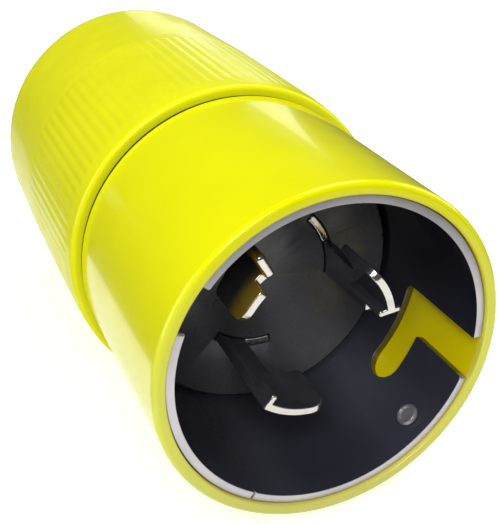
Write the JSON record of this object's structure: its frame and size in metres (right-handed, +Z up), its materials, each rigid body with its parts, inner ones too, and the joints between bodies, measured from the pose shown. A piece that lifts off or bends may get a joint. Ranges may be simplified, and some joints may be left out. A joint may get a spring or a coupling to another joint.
{
  "type": "locking shore power plug",
  "caption": "Round yellow locking power plug: smooth front sleeve over a slotted metal ground shell, hooked blades in a deep cup, and a finely ribbed rear housing with a cord grommet.",
  "frame": {"origin": "centre of the flat contact floor at the bottom of the cup, on the plug's axis", "axes": "+Y from the mouth to the cord end along the plug's axis, +Z up with the plug lying on its side, +X to the right seen from in front of the mouth"},
  "size_m": [0.074, 0.1377, 0.074],
  "materials": {
    "yellow_gloss": "smooth glossy moulded yellow",
    "yellow_satin": "satin moulded yellow, fine ribs",
    "black_plastic": "dark moulded insulator",
    "black_rubber": "matt black rubber",
    "nickel": "bright nickel plate",
    "steel": "zinc-plated steel",
    "brass": "turned brass"
  },
  "bodies": {
    "front": {"front_housing": "yellow_gloss", "ground_shell": "nickel", "shell_rivet": "nickel", "contact_carrier": "black_plastic", "terminal_holder": "black_plastic", "blade_x": "nickel", "blade_y": "nickel", "blade_w": "nickel", "terminal_block_x": "brass", "terminal_block_y": "brass", "terminal_block_w": "brass", "terminal_block_g": "brass", "ground_strap": "brass", "insulator_screw_1": "steel", "insulator_screw_2": "steel", "seam_gasket": "black_rubber"},
    "rear": {"rear_housing": "yellow_satin", "cord_grommet": "black_rubber", "clamp_jaw_lower": "black_plastic"},
    "clamp_saddle": {"clamp_saddle_upper": "black_plastic", "clamp_nut_left": "steel", "clamp_nut_right": "steel"},
    "clamp_screw_left": {"clamp_screw_left": "steel"},
    "clamp_screw_right": {"clamp_screw_right": "steel"},
    "assembly_screw_1": {"assembly_screw_1": "steel"},
    "assembly_screw_2": {"assembly_screw_2": "steel"},
    "pad_x": {"pressure_pad_x": "nickel"},
    "terminal_screw_x": {"terminal_screw_x": "steel"},
    "pad_y": {"pressure_pad_y": "nickel"},
    "terminal_screw_y": {"terminal_screw_y": "steel"},
    "pad_w": {"pressure_pad_w": "nickel"},
    "terminal_screw_w": {"terminal_screw_w": "steel"},
    "pad_g": {"pressure_pad_g": "nickel"},
    "terminal_screw_g": {"terminal_screw_g": "steel"}
  },
  "joints": [
    {"name": "rear_housing_pull_off", "type": "slide", "parent": "front", "child": "rear", "axis": [0, 1, 0], "range_m": [0, 0.08]},
    {"name": "assembly_screw_1_turn", "type": "hinge", "parent": "rear", "child": "assembly_screw_1", "pos_m": [0, 0.0644, 0.0263], "axis": [0, 1, 0], "continuous": true},
    {"name": "assembly_screw_2_turn", "type": "hinge", "parent": "rear", "child": "assembly_screw_2", "pos_m": [0, 0.0644, -0.0263], "axis": [0, 1, 0], "continuous": true},
    {"name": "clamp_saddle_close", "type": "slide", "parent": "rear", "child": "clamp_saddle", "axis": [0, 0, -1], "range_m": [0, 0.0048]},
    {"name": "clamp_screw_left_turn", "type": "hinge", "parent": "rear", "child": "clamp_screw_left", "pos_m": [-0.018, 0.0794, -0.02], "axis": [0, 0, 1], "range_deg": [0, 2160]},
    {"name": "clamp_screw_right_turn", "type": "hinge", "parent": "rear", "child": "clamp_screw_right", "pos_m": [0.018, 0.0794, -0.02], "axis": [0, 0, 1], "range_deg": [0, 2160]},
    {"name": "pad_x_press", "type": "slide", "parent": "front", "child": "pad_x", "axis": [0.4384, 0, 0.8988], "range_m": [0, 0.004]},
    {"name": "terminal_screw_x_turn", "type": "hinge", "parent": "pad_x", "child": "terminal_screw_x", "pos_m": [-0.00964, 0.0255, -0.01977], "axis": [0.4384, 0, 0.8988], "range_deg": [0, 1800]},
    {"name": "pad_y_press", "type": "slide", "parent": "front", "child": "pad_y", "axis": [0.6225, 0, -0.7826], "range_m": [0, 0.004]},
    {"name": "terminal_screw_y_turn", "type": "hinge", "parent": "pad_y", "child": "terminal_screw_y", "pos_m": [-0.0137, 0.0255, 0.01722], "axis": [0.6225, 0, -0.7826], "range_deg": [0, 1800]},
    {"name": "pad_w_press", "type": "slide", "parent": "front", "child": "pad_w", "axis": [-0.9945, 0, -0.1045], "range_m": [0, 0.004]},
    {"name": "terminal_screw_w_turn", "type": "hinge", "parent": "pad_w", "child": "terminal_screw_w", "pos_m": [0.02188, 0.0255, 0.0023], "axis": [-0.9945, 0, -0.1045], "range_deg": [0, 1800]},
    {"name": "pad_g_press", "type": "slide", "parent": "front", "child": "pad_g", "axis": [-0.6157, 0, 0.788], "range_m": [0, 0.004]},
    {"name": "terminal_screw_g_turn", "type": "hinge", "parent": "pad_g", "child": "terminal_screw_g", "pos_m": [0.01354, 0.0255, -0.01734], "axis": [-0.6157, 0, 0.788], "range_deg": [0, 1800]}
  ],
  "couplings": [
    {"joint": "clamp_screw_left_turn", "follows": "clamp_saddle_close", "rad_per_m": 7853.9},
    {"joint": "clamp_screw_right_turn", "follows": "clamp_saddle_close", "rad_per_m": 7853.9},
    {"joint": "terminal_screw_x_turn", "follows": "pad_x_press", "rad_per_m": 7853.9},
    {"joint": "terminal_screw_y_turn", "follows": "pad_y_press", "rad_per_m": 7853.9},
    {"joint": "terminal_screw_w_turn", "follows": "pad_w_press", "rad_per_m": 7853.9},
    {"joint": "terminal_screw_g_turn", "follows": "pad_g_press", "rad_per_m": 7853.9}
  ]
}
